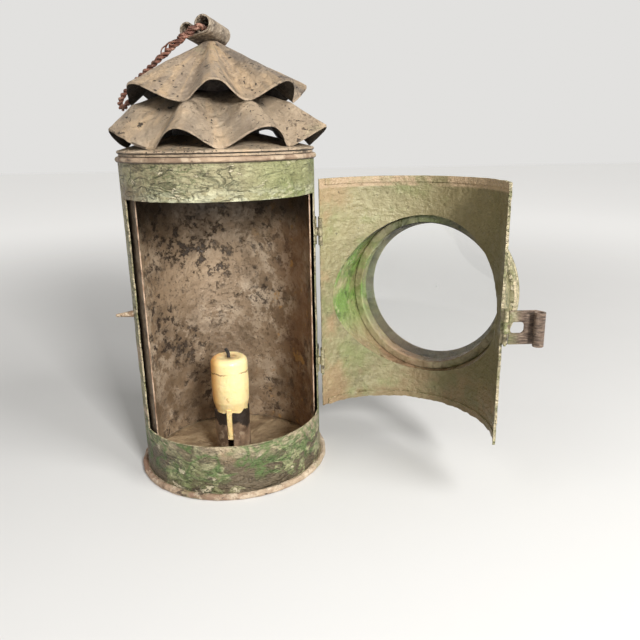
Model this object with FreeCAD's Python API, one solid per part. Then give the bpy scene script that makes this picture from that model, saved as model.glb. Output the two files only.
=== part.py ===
# Tin bullseye lantern with a candle, a turning inner shutter and an arched door.
# Millimetres, +Z up. The origin is the middle of the foot, on the body's axis.
# The door opening faces -Y, the door hinge is at +X and the catch stud near -X.
# The door stands open, the shutter's window faces the opening and the bail lies back.
import FreeCAD, Part
import math
import os

from FreeCAD import Vector

# Sheet and clearances
sheet = 0.7
seat_gap = 0.15
running_gap = 0.05
sliding_gap = 0.3

# Body tube
body_radius = 47.5
body_top = 160.8
opening_low = 27.6
opening_high = 144.5
opening_left_az = -147.5
opening_right_az = -4.0
seam_width = 7.0
seam_az = 90.0
bead_height = 2.6
bead_stand = 1.2
foot_flange_width = 1.9

# Bottom pan with its rolled rim
pan_rise = 0.9
rim_radius = 1.65
rim_reach = 3.2
rim_wear = 0.15

# Shutter and hood, which turn together
shutter_gap = 1.5
shutter_sheet = 0.6
window_left_az = -140.0
window_right_az = -3.5
window_low = 19.0
window_high = 151.0
hood_inset = 0.5
hood_pitch = 14.0
hood_roll_radius = 0.75
hood_groove = 1.3
neck_radius = 21.0
neck_top = 197.0

# Fluted caps
cap_sheet = 0.8
lower_low_az = [4.6, 47.0, 90.0, 133.0, 175.6, 241.2, 281.5, 326.1]
lower_foot_inset = 1.6
lower_overhang = 7.4
lower_skew = 2.9
lower_ridge_rise = 8.1
lower_mid_inset = 6.4
lower_mid_rise = 12.8
lower_mid_wave = 5.6
lower_top_rise = 24.0
upper_low_az = [-9.0, 45.0, 97.0, 143.0, 190.0, 260.0, 300.7]
upper_foot_inset = 0.2
upper_overhang = 5.4
upper_skew = 1.8
upper_ridge_rise = 8.3
apex_radius = 3.2
apex_rise = 27.0

# Rolled ear on the apex and the wire bail through it
ear_az = 72.0
ear_tilt = 8.6
ear_lean = 10.0
ear_length = 20.0
ear_roll_radius = 4.1
ear_small_radius = 3.4
ear_roll_gap = 1.0
ear_offset = 1.4
bail_wire_radius = 1.4
bail_tuck = 6.27
bail_far_lift = 4.0
bail_corner = 3.4
bail_shoulder = 13.0
bail_waist = 40.0
bail_end = 56.5
bail_waist_half = 10.5
bail_end_half = 6.5
bail_droop = 0.5

# Candle and socket
socket_x = -0.8
socket_radius = 9.6
socket_height = 26.6
socket_slit = 3.2
candle_radius = 10.15
candle_top = 57.6
candle_foot = 12.0
candle_shoulder = 3.0
candle_flare = 4.5
wick_radius = 0.9
wick_reach = 5.2
wick_depth = 3.0
drip_foot = 14.5
drip_tip_width = 1.2

# Door
door_sheet = 0.6
door_gap = 0.9
door_low = 30.6
door_high = 150.9
door_free_az = -149.5
door_turn = 135.5
edge_lap = 1.55
notch_gap = 0.5
hem_width = 3.0
edge_fold = 1.8
hinge_az = -3.8
knuckle_radius = 1.1
pin_radius = 0.6
pin_head = 0.8
leaf_sheet = 0.6
leaf_height = 13.2
leaf_reach_az = 12.0
knuckle_gap = 0.2
upper_hinge_z = 124.6
lower_hinge_z = 55.2

# Lens tube, set in the door
lens_az = -71.3
lens_z = 89.2
tube_inset = 6.8
tube_reach = 17.0
lip_width = 5.9
ring_width = 4.5
ring_setback = 2.5
ring_depth = 6.4
bezel_stand = 2.6
bezel_setback = 6.0
bezel_depth = 9.6
bezel_ribs = 3
glass_sheet = 2.2
glass_sag = 10.0

# Hasp and catch stud
hasp_pin_az = door_free_az - 1.7
hasp_knuckle_radius = 1.1
hasp_z = 88.6
hasp_width = 15.4
hasp_sheet = 0.9
hasp_flat = 13.0
hasp_lift = 16.0
hasp_tail = 3.0
hasp_tail_bend = 48.0
hasp_curl_radius = 2.4
hasp_hole_wide = 6.2
hasp_hole_high = 5.2
hasp_hole_start = 1.9
hasp_turn = 92.0
stud_reach = 4.4
stud_z = 87.4
stud_root_radius = 1.7
stud_tip_radius = 0.8
stud_length = 8.7

up = Vector(0, 0, 1)
origin = Vector(0, 0, 0)

# Sizes that follow from the body: what nests in it, lies on it or is set in its door
shutter_radius = body_radius - sheet - shutter_gap
hood_radius = body_radius - hood_inset
lower_low_radius = hood_radius - lower_foot_inset
lower_ridge_radius = lower_low_radius + lower_overhang
lower_mid_radius = lower_low_radius - lower_mid_inset
upper_low_radius = lower_mid_radius - upper_foot_inset
upper_ridge_radius = upper_low_radius + upper_overhang
cap_slope = math.degrees(math.atan2(apex_rise - upper_ridge_rise, upper_ridge_radius - apex_radius))
bail_slope = cap_slope + bail_tuck
door_inner_radius = body_radius + door_gap
door_outer_radius = door_inner_radius + door_sheet
hinge_radius = door_outer_radius + knuckle_radius + seat_gap
tube_radius = door_outer_radius - tube_inset
tube_end = door_outer_radius + tube_reach
lip_radius = tube_radius - lip_width
ring_radius = tube_radius - ring_width
ring_start = door_outer_radius + ring_setback
ring_end = ring_start + ring_depth
bezel_start = door_outer_radius + bezel_setback
bezel_end = bezel_start + bezel_depth
stud_az = hasp_pin_az - math.degrees(stud_reach / body_radius)


def polar(radius, az, z=0.0):
    angle = math.radians(az)
    return Vector(radius * math.cos(angle), radius * math.sin(angle), z)


def tube(outer, inner, low, high, centre=origin):
    base = Vector(centre.x, centre.y, low)
    outside = Part.makeCylinder(outer, high - low, base)
    inside = Part.makeCylinder(inner, high - low, base)
    return outside.cut(inside)


def arc_plate(inner, outer, low, high, start_az, end_az, centre=origin):
    """A curved plate between two radii, two heights and two azimuths."""
    middle = (start_az + end_az) / 2
    points = [(inner, start_az), (inner, middle), (inner, end_az), (outer, end_az), (outer, middle), (outer, start_az)]
    a, b, c, d, e, f = [centre + polar(radius, az, low) for radius, az in points]
    edges = [Part.Arc(a, b, c).toShape(), Part.makeLine(c, d), Part.Arc(d, e, f).toShape(), Part.makeLine(f, a)]
    return Part.Face(Part.Wire(edges)).extrude(Vector(0, 0, high - low))


def spin(points, axis_point=origin, axis=up):
    """Turns a closed outline of (radius, height) points into a solid of revolution about Z."""
    corners = [Vector(radius, 0, height) for radius, height in points]
    face = Part.Face(Part.makePolygon(corners + corners[:1]))
    return face.revolve(axis_point, axis, 360)


def rolled_wire(points, radius_of_corner, wire_radius):
    """Sweeps a round wire along straight runs joined by tangent arcs."""
    edges = []
    start = points[0]
    for before, corner, after in zip(points, points[1:], points[2:]):
        into = (corner - before).normalize()
        out = (after - corner).normalize()
        turn = into.getAngle(out)
        run = min((corner - before).Length, (after - corner).Length)
        reach = min(radius_of_corner * math.tan(turn / 2), 0.45 * run)
        bend = reach / math.tan(turn / 2)
        first = corner - into * reach
        last = corner + out * reach
        bisector = (out - into).normalize()
        middle = corner + bisector * (math.hypot(bend, reach) - bend)
        edges.append(Part.makeLine(start, first))
        edges.append(Part.Arc(first, middle, last).toShape())
        start = last
    edges.append(Part.makeLine(start, points[-1]))
    path = Part.Wire(edges)
    section = Part.Wire(Part.makeCircle(wire_radius, points[0], (points[1] - points[0])))
    return path.makePipeShell([section], True, False)


def outer_shell():
    inner = body_radius - sheet
    flange_low = pan_rise + sheet + seat_gap
    flange_out = body_radius + foot_flange_width
    profile = [
        (inner, flange_low),
        (flange_out, flange_low),
        (flange_out, flange_low + sheet),
        (body_radius, flange_low + sheet),
        (body_radius, body_top),
        (inner, body_top),
    ]
    shell = spin(profile)
    seam_half = math.degrees(seam_width / 2 / body_radius)
    seam = arc_plate(inner + 0.1, body_radius + sheet, rim_radius * 2 + 1.0, body_top,
                     seam_az - seam_half, seam_az + seam_half)
    doorway = arc_plate(body_radius - 8, body_radius + 8, opening_low, opening_high,
                        opening_left_az, opening_right_az)
    return shell.fuse(seam).removeSplitter().cut(doorway)


def top_bead():
    inner = body_radius - 2 * sheet
    low = Vector(body_radius, 0, body_top)
    high = Vector(body_radius, 0, body_top + bead_height)
    middle = Vector(body_radius + bead_stand, 0, body_top + bead_height / 2)
    edges = [
        Part.Arc(low, middle, high).toShape(),
        Part.makeLine(high, Vector(inner, 0, high.z)),
        Part.makeLine(Vector(inner, 0, high.z), Vector(inner, 0, low.z)),
        Part.makeLine(Vector(inner, 0, low.z), low),
    ]
    return Part.Face(Part.Wire(edges)).revolve(origin, up, 360)


def bottom_pan():
    """A flat pan whose rim is rolled round the body's foot flange and worn flat where it stands."""
    flange_top = pan_rise + 2 * sheet + seat_gap
    rim_middle = body_radius + rim_reach - rim_radius
    rim = Part.makeTorus(rim_middle, rim_radius, Vector(0, 0, rim_radius - rim_wear))
    worn_off = Part.makeCylinder(body_radius + rim_reach + 1, rim_wear, Vector(0, 0, -rim_wear))
    disc = Part.makeCylinder(rim_middle - 0.4, sheet, Vector(0, 0, pan_rise))
    pan = rim.cut(worn_off).fuse(disc)
    slot = tube(body_radius + foot_flange_width + seat_gap, body_radius - sheet - 4,
                pan_rise + sheet, flange_top + seat_gap)
    return pan.cut(slot)


def hood_height(radius):
    """Height of the hood's top face at a radius."""
    rim = body_top + bead_height + hood_groove + 2 * hood_roll_radius
    return rim + (hood_radius - radius) * math.tan(math.radians(hood_pitch))


def hood_cone():
    """A shallow cone with a rolled edge, on a collar that turns on the bead."""
    hole = neck_radius + seat_gap
    rim = hood_height(hood_radius)
    collar_inner = shutter_radius + sliding_gap
    collar_outer = collar_inner + 2 * sheet
    profile = [
        (hood_radius, rim),
        (hole, hood_height(hole)),
        (hole, hood_height(hole) - sheet),
        (collar_inner, hood_height(collar_inner) - sheet),
        (collar_inner, body_top + bead_height + sliding_gap),
        (collar_outer, body_top + bead_height + sliding_gap),
        (collar_outer, rim - hood_roll_radius),
        (hood_radius, rim - hood_roll_radius),
    ]
    roll = Part.makeTorus(hood_radius, hood_roll_radius, Vector(0, 0, rim - hood_roll_radius))
    return spin(profile).fuse(roll).removeSplitter()


def shutter():
    """The inner cylinder, with a window as wide as the door opening."""
    low = pan_rise + sheet + 0.8
    high = hood_height(shutter_radius) - sheet - seat_gap
    wall = tube(shutter_radius, shutter_radius - shutter_sheet, low, high)
    window = arc_plate(shutter_radius - 6, shutter_radius + 6, window_low, window_high,
                       window_left_az, window_right_az)
    return wall.cut(window)


def vent_neck():
    low = hood_height(neck_radius) - 3.0
    return tube(neck_radius, neck_radius - sheet, low, neck_top)


def flute_wave(az, lows):
    """-1 in each trough and 1 on the ridge half way to the next."""
    for start, end in zip(lows, lows[1:] + [lows[0] + 360.0]):
        share = ((az - start) % 360.0) / (end - start)
        if share <= 1.0:
            return -math.cos(2 * math.pi * share)
    return -1.0


def wave_ring(lows, low_point, ridge_point, skew, drop=0.0):
    """A closed curve through troughs and ridges, each given as (radius, height)."""
    points = []
    steps = 8
    for start, end in zip(lows, lows[1:] + [lows[0] + 360.0]):
        for step in range(steps):
            az = start + (end - start) * step / steps
            blend = (1 + flute_wave(az, lows)) / 2
            radius = low_point[0] + (ridge_point[0] - low_point[0]) * blend
            if ridge_point[0] > low_point[0]:
                radius += skew * blend * math.cos(math.radians(az))
            height = low_point[1] + (ridge_point[1] - low_point[1]) * blend
            points.append(polar(radius, az, height - drop))
    curve = Part.BSplineCurve()
    parameters = [float(index) for index in range(len(points) + 1)]
    curve.interpolate(Points=points, PeriodicFlag=True, Parameters=parameters)
    return curve.toShape()


def fluted_cap(lows, stations, skew, thickness):
    """A hand-fluted cone: ruled bands between wavy rings, with a wall of one thickness."""
    top = [wave_ring(lows, low, ridge, skew) for low, ridge in stations]
    under = [wave_ring(lows, low, ridge, skew, thickness) for low, ridge in stations]
    loop = top + under[::-1]
    faces = []
    for first, second in zip(loop, loop[1:] + loop[:1]):
        faces.append(Part.makeRuledSurface(first, second))
    shell = Part.makeShell(faces)
    shell.sewShape()
    solid = Part.Solid(shell)
    if solid.Volume < 0:
        solid.reverse()
    return solid


cap_drop = cap_sheet / math.cos(math.radians(36))
lower_low_height = hood_height(lower_low_radius) + seat_gap + cap_drop


def lower_cap():
    rim_ridge = lower_low_height + lower_ridge_rise
    mid = lower_low_height + lower_mid_rise
    hole = neck_radius + seat_gap
    top = lower_low_height + lower_top_rise
    stations = [
        ((lower_low_radius, lower_low_height), (lower_ridge_radius, rim_ridge)),
        ((lower_mid_radius, mid - lower_mid_wave), (lower_mid_radius, mid + lower_mid_wave)),
        ((hole, top), (hole, top)),
    ]
    return fluted_cap(lower_low_az, stations, lower_skew, cap_drop)


upper_low_height = lower_low_height + lower_mid_rise + lower_mid_wave + seat_gap + cap_drop


def apex_height():
    return upper_low_height + apex_rise


def upper_cap():
    rim_ridge = upper_low_height + upper_ridge_rise
    hole = 1.2
    stations = [
        ((upper_low_radius, upper_low_height), (upper_ridge_radius, rim_ridge)),
        ((apex_radius, apex_height()), (apex_radius, apex_height())),
        ((hole, apex_height() + 0.3), (hole, apex_height() + 0.3)),
    ]
    return fluted_cap(upper_low_az, stations, upper_skew, cap_drop)


def ear_frame():
    """Directions along the rolls, across them towards the small roll, and upwards."""
    along = Vector(math.cos(math.radians(ear_az)) * math.cos(math.radians(ear_tilt)),
                   math.sin(math.radians(ear_az)) * math.cos(math.radians(ear_tilt)),
                   -math.sin(math.radians(ear_tilt)))
    flat = polar(1.0, ear_az + 90.0)
    lean = math.radians(ear_lean)
    across = flat * math.cos(lean) - along.cross(flat) * math.sin(lean)
    return along, across, along.cross(across)


def ear_centre():
    steepest = math.hypot(math.tan(math.radians(ear_tilt)), math.tan(math.radians(ear_lean)))
    reach = apex_radius + ear_offset
    return Vector(ear_offset, 0.0, apex_height() + seat_gap + reach * steepest + ear_roll_radius)


def ear_roll(middle, along, radius):
    """One edge of the ear, rolled up until it meets the strip again."""
    start = middle - along * (ear_length / 2)
    outside = Part.makeCylinder(radius, ear_length, start, along)
    inside = Part.makeCylinder(radius - sheet, ear_length, start, along)
    return outside, inside


def bail_ear():
    """A strip rolled up from both edges, soldered across the apex."""
    along, across, up_dir = ear_frame()
    middle = ear_centre()
    spacing = ear_roll_radius + ear_small_radius + ear_roll_gap
    small_middle = middle + across * spacing - up_dir * (ear_roll_radius - ear_small_radius)
    big, big_bore = ear_roll(middle, along, ear_roll_radius)
    small, small_bore = ear_roll(small_middle, along, ear_small_radius)
    web = Part.makeBox(ear_length, spacing, sheet)
    turn = FreeCAD.Matrix(along.x, across.x, up_dir.x, 0, along.y, across.y, up_dir.y, 0,
                          along.z, across.z, up_dir.z, 0, 0, 0, 0, 1)
    web.transformShape(turn)
    web.translate(middle - along * (ear_length / 2) - up_dir * ear_roll_radius)
    return big.fuse([small, web]).cut([big_bore, small_bore]).removeSplitter()


def bail_axis_point():
    return ear_centre() - up * (ear_roll_radius - sheet - bail_wire_radius - sliding_gap)


def bail():
    """One wire, bent to a long loop whose ends meet inside the big roll."""
    along = ear_frame()[0]
    flat = polar(1.0, ear_az + 90.0)
    level_up = along.cross(flat)
    slope = math.radians(bail_slope)
    down = flat * math.cos(slope) - level_up * math.sin(slope)
    under = flat * -math.sin(slope) - level_up * math.cos(slope)
    half = ear_length / 2 + bail_corner
    side = [
        (0.3, 0.0, 0.0),
        (half, 0.0, 0.0),
        (half - 0.3, bail_shoulder, 0.0),
        (bail_waist_half, bail_waist, 0.4),
        (bail_end_half, bail_end, bail_droop),
    ]
    tip = [(0.0, bail_end + 4.5, bail_droop + 2.5)]
    lifts = [0.0, 0.0, 0.5, 1.0, 1.0]
    far_side = [(s, d, u - bail_far_lift * lift) for (s, d, u), lift in zip(side, lifts)]
    outline = [(-s, d, u) for s, d, u in side] + tip + far_side[::-1]
    points = [bail_axis_point() + along * s + down * d + under * u for s, d, u in outline]
    return rolled_wire(points, 2.4, bail_wire_radius)


def candle_socket():
    """A rolled tin tube, open at the front along its whole height."""
    centre = Vector(socket_x, 0, 0)
    low = pan_rise + sheet + seat_gap
    wall = tube(socket_radius, socket_radius - sheet, low, low + socket_height, centre)
    slit = Part.makeBox(socket_slit, socket_radius + 2, socket_height + 2,
                        Vector(socket_x - socket_slit / 2, -socket_radius - 2, low - 1))
    return wall.cut(slit)


def socket_top():
    return pan_rise + sheet + seat_gap + socket_height


def candle():
    """A stub pared down to fit the socket, with wax run down the socket's slit."""
    core = socket_radius - sheet - seat_gap
    flare_low = socket_top() + seat_gap
    wall_high = candle_top - candle_shoulder
    profile = [
        Vector(0, 0, candle_foot),
        Vector(core, 0, candle_foot),
        Vector(core, 0, flare_low),
        Vector(candle_radius - 0.35, 0, flare_low + candle_flare),
        Vector(candle_radius, 0, (flare_low + wall_high) / 2),
        Vector(candle_radius - 0.2, 0, wall_high),
    ]
    shoulder_middle = Vector(candle_radius - 1.2, 0, candle_top - 0.9)
    shoulder_end = Vector(candle_radius - 3.2, 0, candle_top)
    dip = Vector(0, 0, candle_top - 0.8)
    edges = [Part.makeLine(a, b) for a, b in zip(profile, profile[1:])]
    edges.append(Part.Arc(profile[-1], shoulder_middle, shoulder_end).toShape())
    edges.append(Part.makeLine(shoulder_end, dip))
    edges.append(Part.makeLine(dip, profile[0]))
    stub = Part.Face(Part.Wire(edges)).revolve(origin, up, 360)
    half = socket_slit / 2 - sliding_gap
    drip_front = -socket_radius - 0.1
    drip_outline = [
        Vector(-half, drip_front, flare_low + 1),
        Vector(half, drip_front, flare_low + 1),
        Vector(half, drip_front, (flare_low + drip_foot) / 2),
        Vector(drip_tip_width / 2, drip_front, drip_foot),
        Vector(-drip_tip_width / 2, drip_front, drip_foot),
        Vector(-half, drip_front, (flare_low + drip_foot) / 2),
    ]
    drip = Part.Face(Part.makePolygon(drip_outline + drip_outline[:1])).extrude(Vector(0, 2.0, 0))
    bore = Part.makeCylinder(wick_radius + 0.02, wick_depth + 1, Vector(0, 0, candle_top - 0.8 - wick_depth))
    stub = stub.fuse(drip).cut(bore)
    stub.translate(Vector(socket_x, 0, 0))
    return stub


def wick():
    foot = Vector(socket_x, 0, candle_top - 0.8 - wick_depth)
    bend = Vector(socket_x, 0, candle_top + 1.4)
    tip = Vector(socket_x - 1.6, 0.6, candle_top + wick_reach - 1.0)
    return rolled_wire([foot, bend, tip], 2.0, wick_radius)


def hinge_knuckle(radius, low, high, place):
    return Part.makeCylinder(radius, high - low, Vector(place.x, place.y, low))


def knuckle_bounds(middle):
    """Heights at which a hinge's three knuckles start and end."""
    third = leaf_height / 3
    low = middle - leaf_height / 2
    return low, low + third, low + 2 * third, low + leaf_height


def hinge_point():
    return polar(hinge_radius, hinge_az)


def body_leaf(middle):
    """The strap soldered on the body, with the middle knuckle."""
    low, first, second, high = knuckle_bounds(middle)
    place = hinge_point()
    start = body_radius + seat_gap
    plate = arc_plate(start, start + leaf_sheet, low, high, hinge_az + 1.4, hinge_az + leaf_reach_az)
    barrel = hinge_knuckle(knuckle_radius, first + knuckle_gap / 2, second - knuckle_gap / 2, place)
    lug = arc_plate(start, hinge_radius - 0.3, first + knuckle_gap / 2, second - knuckle_gap / 2,
                    hinge_az + 0.3, hinge_az + 2.2)
    bore = hinge_knuckle(pin_radius + running_gap, low, high, place)
    return plate.fuse([barrel, lug]).removeSplitter().cut(bore)


def door_leaf(middle):
    """The strap soldered on the door's outside, with the end knuckles."""
    low, first, second, high = knuckle_bounds(middle)
    place = hinge_point()
    start = door_outer_radius + seat_gap
    plate = arc_plate(start, start + leaf_sheet, low, high, hinge_az - leaf_reach_az, hinge_az - 2.3)
    parts = []
    for bottom, top in ((low, first - knuckle_gap / 2), (second + knuckle_gap / 2, high)):
        parts.append(hinge_knuckle(knuckle_radius, bottom, top, place))
        parts.append(arc_plate(start, start + leaf_sheet, bottom, top, hinge_az - 3.0, hinge_az - 0.3))
    bore = hinge_knuckle(pin_radius + running_gap, low, high, place)
    return plate.fuse(parts).removeSplitter().cut(bore)


def hinge_pin(middle, place):
    half = leaf_height / 2
    shank = hinge_knuckle(pin_radius, middle - half - pin_head, middle + half + seat_gap, place)
    head = hinge_knuckle(pin_radius + 0.5, middle + half + seat_gap, middle + half + seat_gap + pin_head, place)
    return shank.fuse(head)


def opened(shape):
    """Turns a piece of the closed door to where the door stands open."""
    shape.rotate(hinge_point(), up, door_turn)
    return shape


def lens_axis():
    """Direction of the lens tube's axis on the closed door, and the point where it meets the body's axis."""
    return polar(1.0, lens_az), Vector(0, 0, lens_z)


def lens_spin(points):
    """A solid of revolution about the lens axis from (distance, radius) points."""
    axis, foot = lens_axis()
    corners = [foot + axis * distance + up * radius for distance, radius in points]
    return Part.Face(Part.makePolygon(corners + corners[:1])).revolve(foot, axis, 360)


def door_panel():
    """The door's sheet, whose hinge edge laps past the pins and is notched for the knuckles."""
    lap_az = hinge_az + math.degrees(edge_lap / door_inner_radius)
    panel = arc_plate(door_inner_radius, door_outer_radius, door_low, door_high, lap_az, door_free_az)
    fold = door_inner_radius - door_sheet
    folds = []
    for low, high in ((door_low, door_low + hem_width), (door_high - hem_width, door_high)):
        folds.append(arc_plate(fold, door_inner_radius, low, high, hinge_az - 2.5, door_free_az))
    edge_deg = math.degrees(edge_fold / door_inner_radius)
    folds.append(arc_plate(fold, door_inner_radius, door_low, door_high, door_free_az + edge_deg, door_free_az))
    axis, foot = lens_axis()
    hole = Part.makeCylinder(tube_radius, 2 * door_outer_radius, foot, axis)
    cuts = [hole]
    for middle in (lower_hinge_z, upper_hinge_z):
        reach = leaf_height / 2 + notch_gap
        cuts.append(arc_plate(fold, door_outer_radius + 1, middle - reach, middle + reach, hinge_az, lap_az + 1))
    return panel.fuse(folds).removeSplitter().cut(cuts)


def lens_tube():
    """A tube that saddles the door and turns in to a lip at its outer end."""
    outer = tube_radius + sheet
    profile = [
        (0.0, tube_radius),
        (tube_end - sheet, tube_radius),
        (tube_end - sheet, lip_radius),
        (tube_end, lip_radius),
        (tube_end, outer - 0.4),
        (tube_end - 0.4, outer),
        (0.0, outer),
    ]
    wall = lens_spin(profile)
    inside_door = Part.makeCylinder(door_outer_radius + 0.02, 3 * outer, Vector(0, 0, lens_z - 1.5 * outer))
    return wall.cut(inside_door)


def retaining_ring():
    """The inner band that holds the glass, with a beaded inner edge."""
    outer = tube_radius - seat_gap
    profile = [
        (ring_start, ring_radius + 0.5),
        (ring_start + 0.5, ring_radius),
        (ring_end, ring_radius),
        (ring_end, outer),
        (ring_end - sheet, outer),
        (ring_end - sheet, ring_radius + sheet),
        (ring_start + 1.6, ring_radius + sheet),
        (ring_start + 1.6, outer),
        (ring_start + 0.6, outer),
        (ring_start, outer - 0.6),
    ]
    return lens_spin(profile)


def bezel_rim():
    """A ribbed collar round the tube's outer end."""
    inner = tube_radius + sheet + seat_gap
    crest = inner + bezel_stand
    pitch = (bezel_end - bezel_start) / bezel_ribs
    profile = [(bezel_start, inner)]
    for rib in range(bezel_ribs):
        start = bezel_start + rib * pitch
        profile.append((start, crest - 1.1))
        profile.append((start + pitch * 0.3, crest))
        profile.append((start + pitch * 0.7, crest))
    profile.append((bezel_end, crest - 1.1))
    profile.append((bezel_end, inner))
    return lens_spin(profile)


def lens_glass():
    """A thin domed pane whose two faces run parallel."""
    axis, foot = lens_axis()
    edge = tube_radius - sliding_gap
    start = ring_end + seat_gap
    curve = (edge * edge + glass_sag * glass_sag) / (2 * glass_sag)
    middle_radius = edge * 0.6
    middle = glass_sag - (curve - math.sqrt(curve * curve - middle_radius * middle_radius))

    def spot(distance, radius):
        return foot + axis * distance + up * radius

    a = spot(start, edge)
    b = spot(start + middle, middle_radius)
    c = spot(start + glass_sag, 0)
    shift = axis * glass_sheet
    edges = [
        Part.Arc(a, b, c).toShape(),
        Part.makeLine(c, c + shift),
        Part.Arc(c + shift, b + shift, a + shift).toShape(),
        Part.makeLine(a + shift, a),
    ]
    return Part.Face(Part.Wire(edges)).revolve(foot, axis, 360)


def hasp_point():
    return polar(door_outer_radius + seat_gap + hasp_knuckle_radius, hasp_pin_az)


def hasp_bounds():
    third = hasp_width / 3
    low = hasp_z - hasp_width / 2
    return low, low + third, low + 2 * third, low + hasp_width


def hasp_leaf():
    """The strap on the door's free edge that carries the hasp's pin."""
    low, first, second, high = hasp_bounds()
    place = hasp_point()
    start = door_outer_radius + seat_gap
    plate = arc_plate(start, start + leaf_sheet, low, high, door_free_az, door_free_az + 8)
    parts = []
    for bottom, top in ((low, first - knuckle_gap / 2), (second + knuckle_gap / 2, high)):
        parts.append(hinge_knuckle(hasp_knuckle_radius, bottom, top, place))
        parts.append(arc_plate(start, start + leaf_sheet, bottom, top, hasp_pin_az + 0.3, door_free_az + 1))
    bore = hinge_knuckle(pin_radius + running_gap, low, high, place)
    return plate.fuse(parts).removeSplitter().cut(bore)


def hasp():
    """A strip pierced for the stud and bent in at its free end, drawn as it lies when shut."""
    low, first, second, high = hasp_bounds()
    place = hasp_point()
    ahead = polar(1.0, hasp_pin_az - 90.0 + hasp_lift)
    side = up.cross(ahead)
    tail = polar(1.0, hasp_pin_az - 90.0 + hasp_lift - hasp_tail_bend)
    tail_side = up.cross(tail)
    half = hasp_sheet / 2
    start = place + ahead * (hasp_knuckle_radius - 0.4)
    bend = place + ahead * hasp_flat
    tip = bend + tail * hasp_tail
    middle_side = (side + tail_side).normalize()
    stretch = half / math.cos(math.radians(hasp_tail_bend / 2))
    outline = [
        start + side * half,
        bend + middle_side * stretch,
        tip + tail_side * half,
        tip - tail_side * half,
        bend - middle_side * stretch,
        start - side * half,
    ]
    base = Vector(0, 0, low)
    face = Part.Face(Part.makePolygon([point + base for point in outline] + [outline[0] + base]))
    strip = face.extrude(Vector(0, 0, hasp_width))
    curl_place = tip - tail_side * (hasp_curl_radius - half)
    curl = Part.makeCylinder(hasp_curl_radius, hasp_width, curl_place + base)
    curl_hollow = Part.makeCylinder(hasp_curl_radius - hasp_sheet, hasp_width, curl_place + base)
    barrel = hinge_knuckle(hasp_knuckle_radius, first + knuckle_gap / 2, second - knuckle_gap / 2, place)
    clear_low = hinge_knuckle(hasp_knuckle_radius + 0.35, low, first + knuckle_gap / 2, place)
    clear_high = hinge_knuckle(hasp_knuckle_radius + 0.35, second - knuckle_gap / 2, high, place)
    strip = strip.cut([clear_low, clear_high])
    strip = strip.fuse([barrel, curl]).removeSplitter().cut(curl_hollow)
    hole_box = Part.makeBox(hasp_hole_wide, 12, hasp_hole_high)
    turn = FreeCAD.Matrix(ahead.x, side.x, 0, 0, ahead.y, side.y, 0, 0, 0, 0, 1, 0, 0, 0, 0, 1)
    hole_box.transformShape(turn)
    hole_box = hole_box.makeFillet(hasp_hole_high * 0.35, [
        edge for edge in hole_box.Edges
        if abs(edge.tangentAt(edge.FirstParameter).dot(side)) > 0.99])
    hole_box.translate(place + ahead * hasp_hole_start - side * 6 + Vector(0, 0, hasp_z - hasp_hole_high / 2))
    bore = hinge_knuckle(pin_radius + running_gap, low, high, place)
    return strip.cut([hole_box, bore])


def hasp_pin():
    place = hasp_point()
    low, first, second, high = hasp_bounds()
    shank = hinge_knuckle(pin_radius, low - pin_head, high + seat_gap, place)
    head = hinge_knuckle(pin_radius + 0.4, high + seat_gap, high + seat_gap + pin_head, place)
    return shank.fuse(head)


def unfolded(shape):
    """Swings the shut hasp out to where it stands on the open door."""
    shape.rotate(hasp_point(), up, hasp_turn)
    return opened(shape)


def catch_stud():
    outward = polar(1.0, stud_az)
    foot = polar(body_radius + 0.1, stud_az, stud_z)
    spike = Part.makeCone(stud_root_radius, stud_tip_radius, stud_length - stud_tip_radius, foot, outward)
    tip = Part.makeSphere(stud_tip_radius, foot + outward * (stud_length - stud_tip_radius))
    return spike.fuse(tip).removeSplitter()


def pieces():
    """Every piece at its place, by name."""
    made = {
        "outer_shell": outer_shell(),
        "top_bead": top_bead(),
        "bottom_pan": bottom_pan(),
        "catch_stud": catch_stud(),
        "candle_socket": candle_socket(),
        "candle": candle(),
        "wick": wick(),
        "hood_cone": hood_cone(),
        "shutter": shutter(),
        "vent_neck": vent_neck(),
        "lower_cap": lower_cap(),
        "upper_cap": upper_cap(),
        "bail_ear": bail_ear(),
        "bail": bail(),
        "door_panel": opened(door_panel()),
        "lens_tube": opened(lens_tube()),
        "retaining_ring": opened(retaining_ring()),
        "bezel_rim": opened(bezel_rim()),
        "lens_glass": opened(lens_glass()),
        "hasp_leaf": opened(hasp_leaf()),
        "hasp_pin": opened(hasp_pin()),
        "hasp": unfolded(hasp()),
    }
    for name, middle in (("upper", upper_hinge_z), ("lower", lower_hinge_z)):
        made["body_hinge_leaf_" + name] = body_leaf(middle)
        made["door_hinge_leaf_" + name] = opened(door_leaf(middle))
        made["hinge_pin_" + name] = hinge_pin(middle, hinge_point())
    return made


def main():
    os.makedirs("parts", exist_ok=True)
    for name, shape in pieces().items():
        if not shape.isValid():
            print("invalid solid:", name)
        shape.exportStep("parts/" + name + ".step")
    along, across, up_dir = ear_frame()
    print("door hinge at", hinge_point())
    print("hasp pin at, door open", opened(Part.Vertex(hasp_point())).Point)
    print("bail axis through", bail_axis_point(), "along", along)


main()
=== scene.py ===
import math

import bpy
from mathutils import Matrix, Vector, noise


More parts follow.
